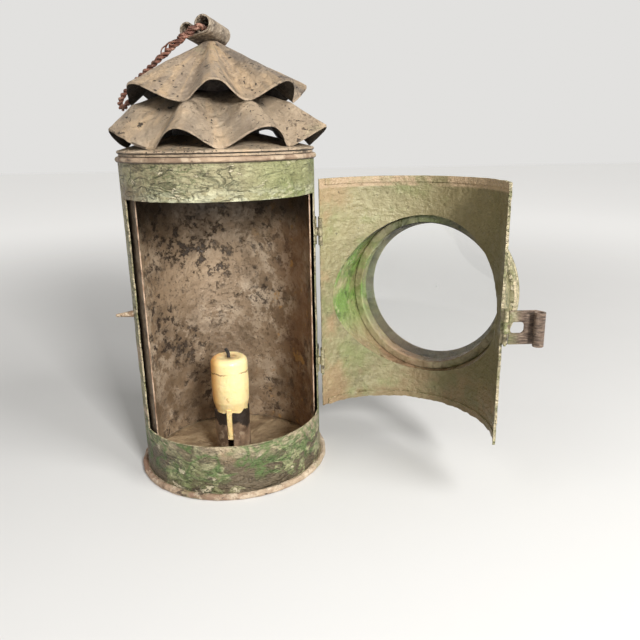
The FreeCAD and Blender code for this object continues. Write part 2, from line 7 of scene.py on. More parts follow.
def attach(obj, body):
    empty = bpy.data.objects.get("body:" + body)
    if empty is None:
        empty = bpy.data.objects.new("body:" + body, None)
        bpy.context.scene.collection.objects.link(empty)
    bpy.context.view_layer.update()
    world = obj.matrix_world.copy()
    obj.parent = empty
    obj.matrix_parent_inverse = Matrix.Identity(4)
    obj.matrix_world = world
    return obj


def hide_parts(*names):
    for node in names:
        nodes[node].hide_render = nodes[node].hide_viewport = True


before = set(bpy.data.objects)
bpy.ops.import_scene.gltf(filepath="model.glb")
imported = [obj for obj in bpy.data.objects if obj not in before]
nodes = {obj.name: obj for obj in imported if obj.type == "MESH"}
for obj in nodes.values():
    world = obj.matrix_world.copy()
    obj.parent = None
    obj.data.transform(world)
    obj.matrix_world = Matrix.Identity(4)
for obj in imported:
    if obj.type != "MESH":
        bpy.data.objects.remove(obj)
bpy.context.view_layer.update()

bl_info = {
    "name": "Tin bullseye lantern",
    "version": (1, 0, 0),
    "blender": (4, 5, 0),
    "location": "View3D > Sidebar > Lantern",
    "description": "Paint, rust, soot, twisted bail and dented sheet for a tin candle lantern",
    "category": "Object",
}

origin = (0.0, 0.0, 0.0)
upwards = (0.0, 0.0, 1.0)

# Where the door's cylinder stands while the door is open, and the direction its lens tube points.
hinge_point = Vector((0.0501395, -0.0033303, 0.0))
door_turn = math.radians(135.5)
door_centre = hinge_point - Matrix.Rotation(door_turn, 3, "Z") @ hinge_point
lens_height = 0.0892
lens_turn = math.radians(-71.3) + door_turn

# Heights between which old sheet is cut up and knocked about.
shell_foot = 0.0018
shell_top = 0.1608
door_foot = 0.0306
door_top = 0.1509
doorway_foot = 0.034
doorway_top = 0.143
hood_edge_top = 0.1670
socket_tear_foot = 0.021
rim_flat_height = 0.0004

# The bead stays true inside this radius and above this height, where the hood runs.
bead_true_radius = 0.0485
bead_true_height = 0.1632

# How often broad dents and fine wrinkles come in a metre of old sheet.
dents_per_metre = 48.0
wrinkles_per_metre = 230.0

# Without a seed of its own, the noise would put the dents elsewhere in each run.
dents_seed = 7


def colour_property(name, description, default):
    return bpy.props.FloatVectorProperty(
        name=name, description=description, default=default, subtype="COLOR", size=3, min=0, max=1)


class LanternSizes(bpy.types.PropertyGroup):
    wire_radius: bpy.props.FloatProperty(
        name="Bail strand radius", description="Radius of each of the bail's twisted wires",
        default=0.00072, min=0.0002, unit="LENGTH")
    twist_length: bpy.props.FloatProperty(
        name="Twist length", description="Length of bail in which its wires turn once round each other",
        default=0.0062, min=0.002, unit="LENGTH")
    tangle_lift: bpy.props.FloatProperty(
        name="Tangle lift", description="How far the loose wires by the ear stand off the cap",
        default=0.0009, min=0.0, unit="LENGTH")
    lump_height: bpy.props.FloatProperty(
        name="Paint lump height", description="Height of the lumps in the old paint",
        default=0.0007, min=0.0, unit="LENGTH")


class LanternColours(bpy.types.PropertyGroup):
    paint_sage: colour_property("Sage paint", "Main colour of the old paint", (0.440, 0.390, 0.225))
    paint_emerald: colour_property("Emerald paint", "Brighter paint in patches", (0.150, 0.240, 0.060))
    paint_flake: colour_property("Pale flake", "Undercoat where the paint has flaked", (0.70, 0.61, 0.42))
    rust: colour_property("Rust", "Brown rust in bare places", (0.135, 0.085, 0.045))
    cap_tin: colour_property("Cap tin", "Tarnished tin of the fluted caps", (0.370, 0.278, 0.192))
    inner_tin: colour_property("Inner tin", "Smoked tin inside the lantern", (0.400, 0.290, 0.185))
    wax: colour_property("Wax", "Old candle wax", (0.960, 0.780, 0.410))
    floor: colour_property("Floor", "Colour of the floor that the lantern stands on", (0.70, 0.69, 0.67))


def sizes():
    return bpy.context.scene.lantern_sizes


def colours():
    return bpy.context.scene.lantern_colours


# Effects that the finishes share

class Nodes:
    """Adds nodes to one shader tree, each fed with plain values or with what other nodes give."""

    def __init__(self, tree):
        self.tree = tree

    def feed(self, socket, value):
        if isinstance(value, bpy.types.NodeSocket):
            self.tree.links.new(value, socket)
        elif hasattr(value, "__len__") and len(value) == 3 and len(socket.default_value) == 4:
            socket.default_value = (*value, 1.0)
        else:
            socket.default_value = value

    def add(self, kind, fed, output, **settings):
        """One output of a new node, once its settings are made and its inputs fed."""
        node = self.tree.nodes.new("ShaderNode" + kind)
        for setting, value in settings.items():
            setattr(node, setting, value)
        for label, value in fed.items():
            self.feed(node.inputs[label], value)
        return node.outputs[output]

    def number(self, operation, *fed, clamp=True):
        return self.add("Math", dict(enumerate(fed)), "Value", operation=operation, use_clamp=clamp)

    def vector(self, operation, *fed, output="Vector"):
        return self.add("VectorMath", dict(enumerate(fed)), output, operation=operation)

    def seen(self):
        """1 for a ray that the camera sends out, or that a shiny face or glass sends on from it."""
        path = self.tree.nodes.new("ShaderNodeLightPath").outputs
        direct = self.number("MAXIMUM", path["Is Camera Ray"], path["Is Glossy Ray"])
        return self.number("MAXIMUM", direct, path["Is Transmission Ray"])


class Effect(Nodes):
    """A node group under way, with its outputs and with the usual value of each of its inputs."""

    def __init__(self, name, outputs, **inputs):
        super().__init__(bpy.data.node_groups.new(name, "ShaderNodeTree"))
        for label, usual in inputs.items():
            kind = "NodeSocketFloat" if isinstance(usual, float) else "NodeSocketVector"
            socket = self.tree.interface.new_socket(label, in_out="INPUT", socket_type=kind)
            socket.default_value = usual
        for label in outputs:
            self.tree.interface.new_socket(label, in_out="OUTPUT", socket_type="NodeSocketFloat")
        self.given = self.tree.nodes.new("NodeGroupInput").outputs
        self.result = self.tree.nodes.new("NodeGroupOutput").inputs

    def cloud(self, **fed):
        """A noise at the group's own point and scale."""
        fed.update(Vector=fed.get("Vector", self.given["Point"]), Scale=self.given["Scale"])
        return self.add("TexNoise", fed, "Fac")

    def rise(self, value):
        """0 up to From and 1 past To, with a soft step between them."""
        fed = {"Value": value, "From Min": self.given["From"], "From Max": self.given["To"]}
        return self.add("MapRange", fed, "Result", interpolation_type="SMOOTHSTEP")


def patches_effect():
    """Blotches that cover the surface where a noise rises between two levels."""
    effect = Effect("Patches", ["Mask"], Point=origin, Scale=60.0, Detail=6.0, Roughness=0.6,
                    From=0.45, To=0.6)
    blotches = effect.cloud(Detail=effect.given["Detail"], Roughness=effect.given["Roughness"])
    effect.feed(effect.result["Mask"], effect.rise(blotches))


def wrinkles_effect():
    """Thin winding lines, as in paint that has drawn up: where a noise passes through its middle value."""
    effect = Effect("Wrinkles", ["Mask"], Point=origin, Scale=90.0, Width=0.04)
    off_middle = effect.number("SUBTRACT", effect.cloud(Detail=3.0, Distortion=0.6), 0.5, clamp=False)
    fed = {"Value": effect.number("ABSOLUTE", off_middle), "From Max": effect.given["Width"],
           "To Min": 1.0, "To Max": 0.0}
    effect.feed(effect.result["Mask"], effect.add("MapRange", fed, "Result"))


def streaks_effect():
    """Bands that run outwards from an upright axis, wavering a little on the way."""
    effect = Effect("Streaks", ["Mask"], Point=origin, Shift=origin, Scale=3.0, From=0.45, To=0.6)
    flat = effect.vector("MULTIPLY", effect.given["Point"], (1.0, 1.0, 0.0))
    unit = effect.vector("NORMALIZE", flat)
    wavering = effect.vector("MULTIPLY_ADD", effect.given["Point"], (9.0, 9.0, 9.0), unit)
    moved = effect.vector("ADD", wavering, effect.given["Shift"])
    effect.feed(effect.result["Mask"], effect.rise(effect.cloud(Vector=moved, Detail=5.0, Distortion=0.3)))


def fade_effect():
    """A value made into a mask that grows from From to To."""
    effect = Effect("Fade", ["Mask"], Value=0.0, From=0.0, To=1.0)
    effect.feed(effect.result["Mask"], effect.rise(effect.given["Value"]))


def facing_effect():
    """How far a face looks away from an upright axis: 1 outwards, -1 inwards, 0 on cut edges."""
    effect = Effect("Facing", ["Facing", "Radius"], Point=origin, Normal=origin, Centre=origin)
    away = effect.vector("SUBTRACT", effect.given["Point"], effect.given["Centre"])
    flat = effect.vector("MULTIPLY", away, (1.0, 1.0, 0.0))
    unit = effect.vector("NORMALIZE", flat)
    outwards = effect.vector("DOT_PRODUCT", unit, effect.given["Normal"], output="Value")
    effect.feed(effect.result["Facing"], outwards)
    effect.feed(effect.result["Radius"], effect.vector("LENGTH", flat, output="Value"))


def shared_effects():
    """The node groups that several finishes use, made once."""
    if "Patches" not in bpy.data.node_groups:
        for make in (patches_effect, wrinkles_effect, streaks_effect, fade_effect, facing_effect):
            make()
    return bpy.data.node_groups


class Finish(Nodes):
    """One material, with the masks that its layers are cut out by."""

    def __init__(self, name, metallic=0.0):
        self.groups = shared_effects()
        self.material = bpy.data.materials.new(name)
        self.material.use_nodes = True
        super().__init__(self.material.node_tree)
        self.shader = self.tree.nodes["Principled BSDF"]
        self.shader.inputs["Metallic"].default_value = metallic
        coordinates = self.tree.nodes.new("ShaderNodeTexCoord")
        self.point = coordinates.outputs["Object"]
        self.normal = coordinates.outputs["Normal"]
        self.x = self.add("SeparateXYZ", {"Vector": self.point}, "X")
        self.z = self.add("SeparateXYZ", {"Vector": self.point}, "Z")
        self.normal_z = self.add("SeparateXYZ", {"Vector": self.normal}, "Z")

    def effect(self, name, output="Mask", **fed):
        return self.add("Group", fed, output, node_tree=self.groups[name])

    def moved(self, shift, squash):
        fed = {"Vector": self.point, "Location": shift, "Scale": (1.0, 1.0, squash)}
        return self.add("Mapping", fed, "Vector")

    def patches(self, scale, low, high, shift=origin, squash=1.0, detail=6.0, rough=0.6):
        """Blotches, so many to a metre, that are squashed flat by a squash over 1."""
        return self.effect("Patches", Point=self.moved(shift, squash), Scale=scale, Detail=detail,
                           Roughness=rough, From=low, To=high)

    def wrinkles(self, scale, width, shift=origin, squash=1.0):
        return self.effect("Wrinkles", Point=self.moved(shift, squash), Scale=scale, Width=width)

    def streaks(self, low, high, scale, shift):
        return self.effect("Streaks", Point=self.point, Shift=shift, Scale=scale, From=low, To=high)

    def above(self, value, low, high):
        """0 up to low, 1 past high."""
        return self.effect("Fade", Value=value, From=low, To=high)

    def below(self, value, low, high):
        """1 up to low, 0 past high."""
        return self.inverse(self.above(value, low, high))

    def facing(self, centre=origin, output="Facing"):
        return self.effect("Facing", output, Point=self.point, Normal=self.normal, Centre=centre)

    def cut_edges(self, centre=origin):
        """The edges of a rolled sheet, which look neither out nor in."""
        return self.below(self.number("ABSOLUTE", self.facing(centre)), 0.15, 0.5)

    def both(self, first, second):
        return self.number("MULTIPLY", first, second)

    def either(self, first, second):
        return self.number("MAXIMUM", first, second)

    def inverse(self, mask):
        return self.number("SUBTRACT", 1.0, mask)

    def ragged_height(self, reach, *pattern, **more):
        """Height above the table, with a ragged share added so that a border at some height is uneven."""
        return self.number("ADD", self.z, self.both(self.patches(*pattern, **more), reach))

    def over(self, mask, under, upper):
        return self.add("Mix", {0: mask, 6: under, 7: upper}, 2, data_type="RGBA")

    def level(self, mask, low, high):
        return self.add("MapRange", {"Value": mask, "To Min": low, "To Max": high}, "Result")

    def bump(self, height, distance, under=None):
        fed = {"Height": height, "Distance": distance}
        if under is not None:
            fed["Normal"] = under
        return self.add("Bump", fed, "Normal")

    def done(self, colour, roughness, normal=None):
        self.feed(self.shader.inputs["Base Color"], colour)
        self.feed(self.shader.inputs["Roughness"], roughness)
        if normal is not None:
            self.feed(self.shader.inputs["Normal"], normal)
        return self.material


class Coat:
    """Colour laid up in layers over a ground of two tones, from the bare surface outwards."""

    def __init__(self, finish, dark, light, mask):
        self.finish = finish
        self.colour = finish.over(mask, dark, light)

    def lay(self, colour, strength, *masks):
        """One more layer, where all of its masks meet."""
        for mask in masks:
            strength = self.finish.both(mask, strength)
        self.colour = self.finish.over(strength, self.colour, colour)


# Finishes

def old_paint(name, centre=origin, emerald=0.5, rusty=0.5, band=None, inside=None, calm_inside=False):
    """Thick wrinkled green paint over cream undercoat, with dull brown where it has gone."""
    tones = colours()
    f = Finish(name)
    coat = Coat(f, (0.235, 0.205, 0.105), tones.paint_sage, f.patches(26, 0.36, 0.60))
    coat.lay(tones.paint_emerald, 0.75 * emerald + 0.1, f.patches(15, 0.50, 0.62, (0.3, 0.1, 0.7)))
    coat.lay((0.52, 0.49, 0.29), 0.5, f.patches(240, 0.48, 0.60, (0.6, 0.2, 0.1), squash=1.8))
    fine = f.wrinkles(170, 0.05, (0.5, 0.3, 0.2), squash=2.2)
    coat.lay((0.080, 0.120, 0.030), 0.7, fine, f.patches(20, 0.42, 0.56, (0.8, 0.1, 0.3)))
    creased = f.both(f.wrinkles(64, 0.040, squash=3.0), f.patches(24, 0.40, 0.52, (0.1, 0.5, 0.9)))
    coat.lay((0.055, 0.065, 0.022), 0.65, creased)
    bare = f.patches(26, 0.60 - 0.06 * rusty, 0.64 - 0.05 * rusty, (0.9, 0.4, 0.2), detail=9.0, rough=0.62)
    coat.lay(tones.rust, 0.35 + 0.6 * rusty, bare)
    flaking = {"shift": (0.2, 0.8, 0.5), "squash": 1.9, "detail": 7.0, "rough": 0.66}
    flake = f.patches(100, 0.60, 0.625, **flaking)
    coat.lay(tones.paint_flake, 0.85, flake)
    coat.lay((0.075, 0.055, 0.028), 0.55, f.patches(100, 0.575, 0.60, **flaking), f.inverse(flake))
    coat.lay((0.50, 0.27, 0.15), 0.55, f.patches(34, 0.60, 0.70, (0.4, 0.7, 0.8)))
    if band is not None:
        band(f, coat)
    rubbed = f.over(f.patches(180, 0.40, 0.58, (0.1, 0.1, 0.6)), (0.26, 0.25, 0.12), (0.66, 0.55, 0.36))
    coat.lay(rubbed, 0.85, f.cut_edges(centre))
    lumps = f.patches(60, 0.2, 0.8, detail=4.0)
    ridges = f.patches(120, 0.3, 0.7, squash=2.6, detail=5.0, rough=0.65)
    scales = f.either(flake, f.inverse(f.either(creased, bare)))
    if inside is not None:
        within = f.below(f.facing(centre), -0.6, -0.2)
        coat.lay(inside(f), 1.0, within)
        if calm_inside:
            outside = f.inverse(within)
            lumps = f.both(lumps, f.level(outside, 0.4, 1.0))
            ridges = f.both(ridges, f.level(outside, 0.22, 1.0))
            scales = f.both(scales, outside)
    height = sizes().lump_height
    lumpy = f.bump(lumps, height * 2.8)
    ridged = f.bump(ridges, height * 2.2, lumpy)
    grainy = f.bump(f.patches(520, 0.3, 0.7, detail=3.0), height * 0.4, ridged)
    rough = f.level(f.patches(90, 0.3, 0.7, (0.4, 0.4, 0.4)), 0.36, 0.68)
    return f.done(coat.colour, rough, f.bump(scales, height, grainy))


def foot_and_top_bands(f, coat):
    """Wear near the doorway: cream and pink scabs along the low band's rim, dark bare places at its foot."""
    low_rim = f.both(f.above(f.z, 0.018, 0.034), f.below(f.z, 0.036, 0.040))
    scabs = f.patches(52, 0.44, 0.50, (0.7, 0.2, 0.4), squash=2.2, detail=7.0, rough=0.66)
    coat.lay((0.62, 0.46, 0.32), 0.9, low_rim, scabs)
    coat.lay((0.085, 0.055, 0.030), 0.8, low_rim, f.patches(95, 0.56, 0.60, (0.1, 0.2, 0.9), squash=2.2))
    holes = f.patches(36, 0.49, 0.515, (0.25, 0.65, 0.15), squash=1.3, detail=4.0)
    coat.lay((0.125, 0.088, 0.052), 0.9, f.below(f.z, 0.016, 0.027), holes)
    veins = f.wrinkles(70, 0.075, (0.3, 0.9, 0.1), squash=1.4)
    coat.lay((0.075, 0.165, 0.030), 0.75, veins, f.above(f.z, 0.006, 0.012), f.below(f.z, 0.030, 0.036))
    top = f.above(f.z, 0.138, 0.141)
    green = f.patches(40, 0.30, 0.50, (0.2, 0.5, 0.5))
    coat.lay((0.265, 0.300, 0.110), 0.5, top, f.above(f.x, 0.012, 0.034), green)
    drips = f.patches(120, 0.46, 0.54, (0.6, 0.1, 0.1), squash=2.6)
    coat.lay((0.60, 0.59, 0.40), 0.75, top, f.below(f.z, 0.1445, 0.1520), drips)
    brown = f.patches(44, 0.36, 0.56, (0.9, 0.9, 0.1))
    coat.lay((0.205, 0.130, 0.075), 0.75, top, f.below(f.x, -0.040, -0.020), brown)


def painted_gap_shade(f):
    """Painted shade: the shell's inner face near black, for the shaded gap between the body and the shutter.
    """
    return f.over(f.patches(60, 0.4, 0.6), (0.028, 0.020, 0.014), (0.070, 0.048, 0.030))


def door_back(f):
    """The dull sage of the door's inner face, browner low down, with painted shade making it darker and
    browner towards its free edge.
    """
    coat = Coat(f, (0.180, 0.157, 0.075), (0.275, 0.238, 0.120), f.patches(20, 0.36, 0.62))
    coat.lay((0.400, 0.360, 0.205), 0.45, f.patches(330, 0.44, 0.62))
    coat.lay((0.235, 0.270, 0.100), 0.6, f.patches(30, 0.50, 0.64, (0.2, 0.3, 0.9)))
    coat.lay((0.180, 0.185, 0.075), 0.5, f.patches(120, 0.56, 0.66, (0.4, 0.1, 0.2), detail=8.0))
    # Painted shade: darker and browner towards the free edge, darker still below its upper part.
    coat.lay((0.155, 0.115, 0.050), 0.62, f.above(f.x, 0.084, 0.122))
    coat.lay((0.105, 0.085, 0.032), 0.55, f.above(f.x, 0.100, 0.128), f.below(f.z, 0.100, 0.135))
    hinge_side = f.patches(46, 0.48, 0.62, (0.7, 0.1, 0.3), detail=8.0)
    coat.lay((0.380, 0.240, 0.130), 0.55, f.below(f.x, 0.056, 0.072), hinge_side)
    foot = f.patches(70, 0.40, 0.58, (0.3, 0.6, 0.6))
    coat.lay((0.235, 0.150, 0.075), 0.6, f.below(f.z, 0.042, 0.056), foot)
    hem = f.patches(60, 0.36, 0.52, (0.5, 0.5, 0.1))
    coat.lay((0.430, 0.310, 0.190), 1.0, f.above(f.z, 0.1455, 0.1465), hem)
    coat.lay((0.30, 0.180, 0.090), 0.6, f.patches(60, 0.64, 0.69, (0.7, 0.1, 0.3), detail=9.0))
    coat.lay((0.055, 0.040, 0.020), 0.75, f.patches(420, 0.66, 0.70))
    return coat.colour


def tube_bore(f):
    """Glossy emerald on the tube's hinge side, tan and brown along its bottom, black under its top from soot
    and painted shadow.
    """
    coat = Coat(f, (0.235, 0.215, 0.095), (0.400, 0.360, 0.185), f.patches(40, 0.36, 0.60))
    left = f.both(f.below(f.x, 0.070, 0.092), f.above(f.z, 0.062, 0.085))
    coat.lay((0.165, 0.270, 0.060), 1.0, left, f.patches(70, 0.32, 0.54))
    coat.lay((0.055, 0.085, 0.022), 0.7, left, f.patches(150, 0.54, 0.62, (0.2, 0.1, 0.6)))
    coat.lay((0.55, 0.52, 0.30), 0.6, left, f.patches(190, 0.60, 0.66, (0.9, 0.1, 0.2)))
    bottom = f.below(f.z, 0.052, 0.074)
    coat.lay((0.370, 0.240, 0.140), 1.0, bottom, f.patches(48, 0.28, 0.50, (0.3, 0.6, 0.1)))
    coat.lay((0.170, 0.105, 0.055), 0.6, bottom, f.patches(130, 0.50, 0.60, (0.6, 0.6, 0.1)))
    right = f.patches(60, 0.30, 0.55, (0.1, 0.4, 0.4))
    coat.lay((0.125, 0.085, 0.042), 0.6, f.above(f.x, 0.096, 0.112), right)
    # Soot and painted shadow under the tube's top: near black.
    coat.lay((0.018, 0.016, 0.010), 1.0, f.above(f.z, 0.112, 0.124))
    return coat.colour


def smoked_tin(name):
    """Tin inside the lantern: golden brown and peppered dark, rusty by the hinge, with soot and the painted
    shadow of the top band at the top, and painted shade on its outer face.
    """
    f = Finish(name, metallic=0.3)
    coat = Coat(f, (0.215, 0.150, 0.092), colours().inner_tin, f.patches(20, 0.34, 0.62))
    worn = f.both(f.patches(110, 0.46, 0.54, (0.5, 0.1, 0.1), detail=9.0, rough=0.72),
                  f.patches(13, 0.36, 0.56, (0.2, 0.4, 0.8)))
    coat.lay((0.620, 0.500, 0.365), 0.85, worn)
    coat.lay((0.135, 0.092, 0.055), 0.55, f.patches(34, 0.53, 0.64, (0.1, 0.3, 0.5), detail=7.0))
    fine_pepper = f.patches(520, 0.56, 0.61, (0.5, 0.7, 0.9), detail=5.0, rough=0.7)
    coat.lay((0.095, 0.066, 0.042), 0.6, fine_pepper)
    pepper = f.both(f.patches(170, 0.515, 0.555, (0.1, 0.7, 0.2), detail=10.0, rough=0.78),
                    f.patches(30, 0.44, 0.54, (0.8, 0.4, 0.4), detail=8.0, rough=0.7))
    coat.lay((0.045, 0.032, 0.024), 0.9, pepper)
    grime = f.patches(42, 0.38, 0.58, (0.6, 0.2, 0.9))
    coat.lay((0.165, 0.108, 0.060), 0.7, f.below(f.z, 0.018, 0.060), grime)
    rust = f.patches(40, 0.30, 0.56, (0.8, 0.2, 0.6))
    coat.lay((0.300, 0.160, 0.080), 0.75, f.above(f.x, 0.016, 0.040), rust)
    spots = f.patches(95, 0.60, 0.66, (0.35, 0.9, 0.15))
    coat.lay((0.56, 0.32, 0.11), 0.85, f.above(f.x, 0.004, 0.030), spots)
    # Soot and the painted shadow of the top band: near black above a ragged line high up.
    soot_and_shadow_line = f.ragged_height(0.010, 18, 0.2, 0.8, (0.4, 0.2, 0.2))
    coat.lay((0.026, 0.018, 0.012), 0.88, f.above(soot_and_shadow_line, 0.120, 0.142))
    # Painted shade: the shutter's outer face, in the gap against the body, darkened.
    coat.lay((0.105, 0.070, 0.042), 0.7, f.above(f.facing(), 0.2, 0.6))
    rubbed = f.over(f.patches(120, 0.4, 0.6), (0.28, 0.155, 0.090), (0.60, 0.43, 0.30))
    coat.lay(rubbed, 0.85, f.cut_edges())
    waves = f.bump(f.patches(38, 0.2, 0.8), 0.0014)
    rough = f.level(f.patches(160, 0.35, 0.65), 0.30, 0.62)
    return f.done(coat.colour, rough, f.bump(f.either(worn, f.inverse(pepper)), 0.00025, waves))


def cap_tin(name, dusty=0.6, soot_and_shade_radius=0.0, painted_light=0.0):
    """Pitted beige tin with ochre streaks from the middle, painted shade beneath, thin bright cut edges. It
    can be made paler as painted light, and near black towards the middle with soot and painted shade.
    """
    f = Finish(name, metallic=0.05)
    coat = Coat(f, (0.235, 0.178, 0.128), colours().cap_tin, f.patches(24, 0.36, 0.62))
    coat.lay((0.680, 0.470, 0.265), dusty, f.streaks(0.45, 0.55, 3.2, (0.3, 0.2, 0.1)))
    coat.lay((0.135, 0.115, 0.092), 0.55, f.streaks(0.48, 0.60, 2.6, (0.9, 0.5, 0.4)))
    coat.lay((0.470, 0.355, 0.240), 0.5, f.patches(120, 0.44, 0.62, (0.2, 0.6, 0.4), detail=8.0, rough=0.7))
    coat.lay((0.130, 0.090, 0.060), 0.5, f.patches(75, 0.54, 0.64, (0.7, 0.3, 0.1), detail=8.0, rough=0.7))
    coat.lay((0.250, 0.260, 0.130), 0.45, f.patches(30, 0.60, 0.68, (0.1, 0.9, 0.6)))
    # Painted light: the whole tin made paler, to stand in for light on a shaded part.
    if painted_light:
        coat.lay((0.90, 0.70, 0.48), painted_light)
    fine_pits = f.both(f.patches(520, 0.61, 0.64, (0.7, 0.1, 0.8), detail=2.0),
                       f.patches(40, 0.48, 0.58, (0.1, 0.3, 0.8)))
    pits = f.either(f.patches(260, 0.655, 0.68, (0.4, 0.9, 0.3), squash=1.8, detail=4.0), fine_pits)
    coat.lay((0.030, 0.020, 0.013), 0.92, pits)
    cut = f.below(f.number("ABSOLUTE", f.normal_z), 0.12, 0.30)
    coat.lay((0.58, 0.44, 0.30), 0.85, cut, f.patches(90, 0.40, 0.55))
    coat.lay((0.050, 0.034, 0.022), 0.8, cut, f.patches(90, 0.56, 0.62, (0.2, 0.2, 0.2)))
    radius = f.facing(output="Radius")
    rim_dirt = f.patches(60, 0.48, 0.60, (0.5, 0.8, 0.2))
    coat.lay((0.150, 0.105, 0.070), 0.35, f.above(radius, 0.040, 0.052), rim_dirt)
    # Painted shade on faces that look down.
    coat.lay((0.016, 0.012, 0.009), 0.93, f.below(f.normal_z, -0.35, -0.1))
    # Soot and painted shade: near black towards the middle, under the cap above.
    if soot_and_shade_radius:
        coat.lay((0.020, 0.014, 0.010), 1.0, f.below(radius, soot_and_shade_radius - 0.012, soot_and_shade_radius))
    waves = f.bump(f.patches(42, 0.2, 0.8), 0.0018)
    crumpled = f.bump(f.patches(120, 0.3, 0.7, (0.6, 0.2, 0.2), squash=1.6, rough=0.7), 0.0011, waves)
    grainy = f.bump(f.patches(300, 0.3, 0.7, (0.1, 0.2, 0.2), rough=0.7), 0.0005, crumpled)
    rough = f.level(f.patches(80, 0.35, 0.65, (0.1, 0.1, 0.8)), 0.42, 0.70)
    return f.done(coat.colour, rough, f.bump(f.inverse(pits), 0.0006, grainy))


def rolled_bead(name):
    """The bead: pink-brown where paint has rubbed off, painted shade beneath, a little green and cream."""
    f = Finish(name)
    coat = Coat(f, (0.225, 0.145, 0.092), (0.480, 0.345, 0.225), f.patches(30, 0.36, 0.60))
    coat.lay((0.62, 0.49, 0.34), 0.6, f.patches(110, 0.50, 0.60, (0.3, 0.5, 0.2)))
    coat.lay((0.250, 0.255, 0.110), 0.6, f.patches(26, 0.52, 0.64, (0.9, 0.1, 0.2)))
    coat.lay((0.055, 0.036, 0.022), 0.8, f.patches(160, 0.60, 0.65, (0.2, 0.2, 0.9)))
    # Painted shade on faces that look down, under the bead.
    coat.lay((0.045, 0.032, 0.020), 0.85, f.below(f.normal_z, -0.75, -0.25))
    lumpy = f.bump(f.patches(80, 0.2, 0.8), 0.0012)
    rough = f.level(f.patches(90, 0.3, 0.7), 0.40, 0.72)
    return f.done(coat.colour, rough, f.bump(f.patches(330, 0.3, 0.7), 0.0004, lumpy))


def rusty_iron(name, dark, light, glow, rows=1.0, green=0.0):
    """Fine, streaky rust. Rows draws it out into level lines, green leaves paint towards the door."""
    f = Finish(name, metallic=0.1)
    coat = Coat(f, dark, light, f.patches(150, 0.36, 0.62, squash=rows))
    coat.lay(glow, 0.65, f.patches(420, 0.50, 0.62, (0.4, 0.2, 0.7), squash=rows))
    coat.lay((0.040, 0.025, 0.018), 0.75, f.patches(260, 0.58, 0.64, (0.8, 0.2, 0.3), squash=rows))
    if green:
        near = f.below(f.x, 0.1310, 0.1395)
        coat.lay((0.300, 0.320, 0.130), green, near, f.patches(110, 0.36, 0.52))
        coat.lay((0.66, 0.60, 0.40), green, near, f.patches(260, 0.54, 0.60, (0.2, 0.5, 0.5)))
    coarse = f.bump(f.patches(130, 0.2, 0.8), 0.0007)
    rough = f.level(f.patches(200, 0.3, 0.7), 0.42, 0.78)
    return f.done(coat.colour, rough, f.bump(f.patches(380, 0.2, 0.8, squash=rows), 0.0006, coarse))


def worn_rim(name):
    """The foot: rubbed to tan and pinkish brown outside, with grit and a little green, dusty brown inside."""
    f = Finish(name)
    coat = Coat(f, (0.270, 0.165, 0.105), (0.520, 0.395, 0.265), f.patches(30, 0.38, 0.60))
    coat.lay((0.68, 0.56, 0.41), 0.7, f.patches(130, 0.48, 0.58, (0.3, 0.5, 0.2), detail=8.0, rough=0.7))
    coat.lay((0.235, 0.240, 0.105), 0.7, f.patches(34, 0.54, 0.64, (0.9, 0.1, 0.2)))
    coat.lay((0.060, 0.038, 0.023), 0.85, f.patches(150, 0.59, 0.63, (0.2, 0.2, 0.9), squash=2.0))
    coat.lay((0.330, 0.170, 0.105), 0.5, f.below(f.x, -0.046, -0.030))
    dust = f.over(f.patches(55, 0.36, 0.60, (0.4, 0.1, 0.1)), (0.235, 0.155, 0.085), (0.470, 0.345, 0.205))
    pan = f.below(f.facing(output="Radius"), 0.0450, 0.0462)
    coat.lay(dust, 1.0, pan, f.above(f.normal_z, 0.5, 0.8))
    lumpy = f.bump(f.patches(85, 0.2, 0.8), 0.0016)
    rough = f.level(f.patches(90, 0.3, 0.7), 0.42, 0.75)
    return f.done(coat.colour, rough, f.bump(f.patches(360, 0.3, 0.7), 0.0005, lumpy))


def old_wax(name):
    """Cream wax with painted shade, deeper orange, towards its left, orange towards its foot, with a fine
    dark crack and smoke round the wick.
    """
    f = Finish(name)
    coat = Coat(f, (0.940, 0.700, 0.330), colours().wax, f.patches(50, 0.3, 0.7))
    # Painted shade: deeper orange on the wax's shaded left side.
    coat.lay((0.900, 0.430, 0.095), 0.85, f.below(f.x, -0.0098, -0.0030))
    coat.lay((0.880, 0.620, 0.250), 0.35, f.below(f.z, 0.0225, 0.0330))
    crack_line = f.ragged_height(0.0022, 90, 0.3, 0.7, (0.1, 0.5, 0.3))
    crack = f.both(f.above(crack_line, 0.0512, 0.0515), f.below(crack_line, 0.0519, 0.0523))
    sides = f.either(f.below(f.x, -0.0030, 0.0005), f.above(f.x, 0.0045, 0.0070))
    coat.lay((0.230, 0.105, 0.028), 0.85, crack, sides)
    smoke = f.below(f.facing(output="Radius"), 0.0020, 0.0050)
    coat.lay((0.300, 0.150, 0.045), 0.8, f.above(f.z, 0.0560, 0.0572), smoke, f.patches(260, 0.36, 0.52))
    coat.lay((0.480, 0.270, 0.080), 0.5, f.patches(150, 0.66, 0.70, (0.6, 0.6, 0.1)))
    f.shader.inputs["Subsurface Weight"].default_value = 0.2
    f.shader.inputs["Subsurface Radius"].default_value = (1.0, 0.5, 0.2)
    f.shader.inputs["Subsurface Scale"].default_value = 0.003
    f.shader.inputs["Coat Weight"].default_value = 0.15
    rough = f.level(f.patches(120, 0.3, 0.7), 0.32, 0.55)
    return f.done(coat.colour, rough, f.bump(f.patches(95, 0.2, 0.8), 0.0006))


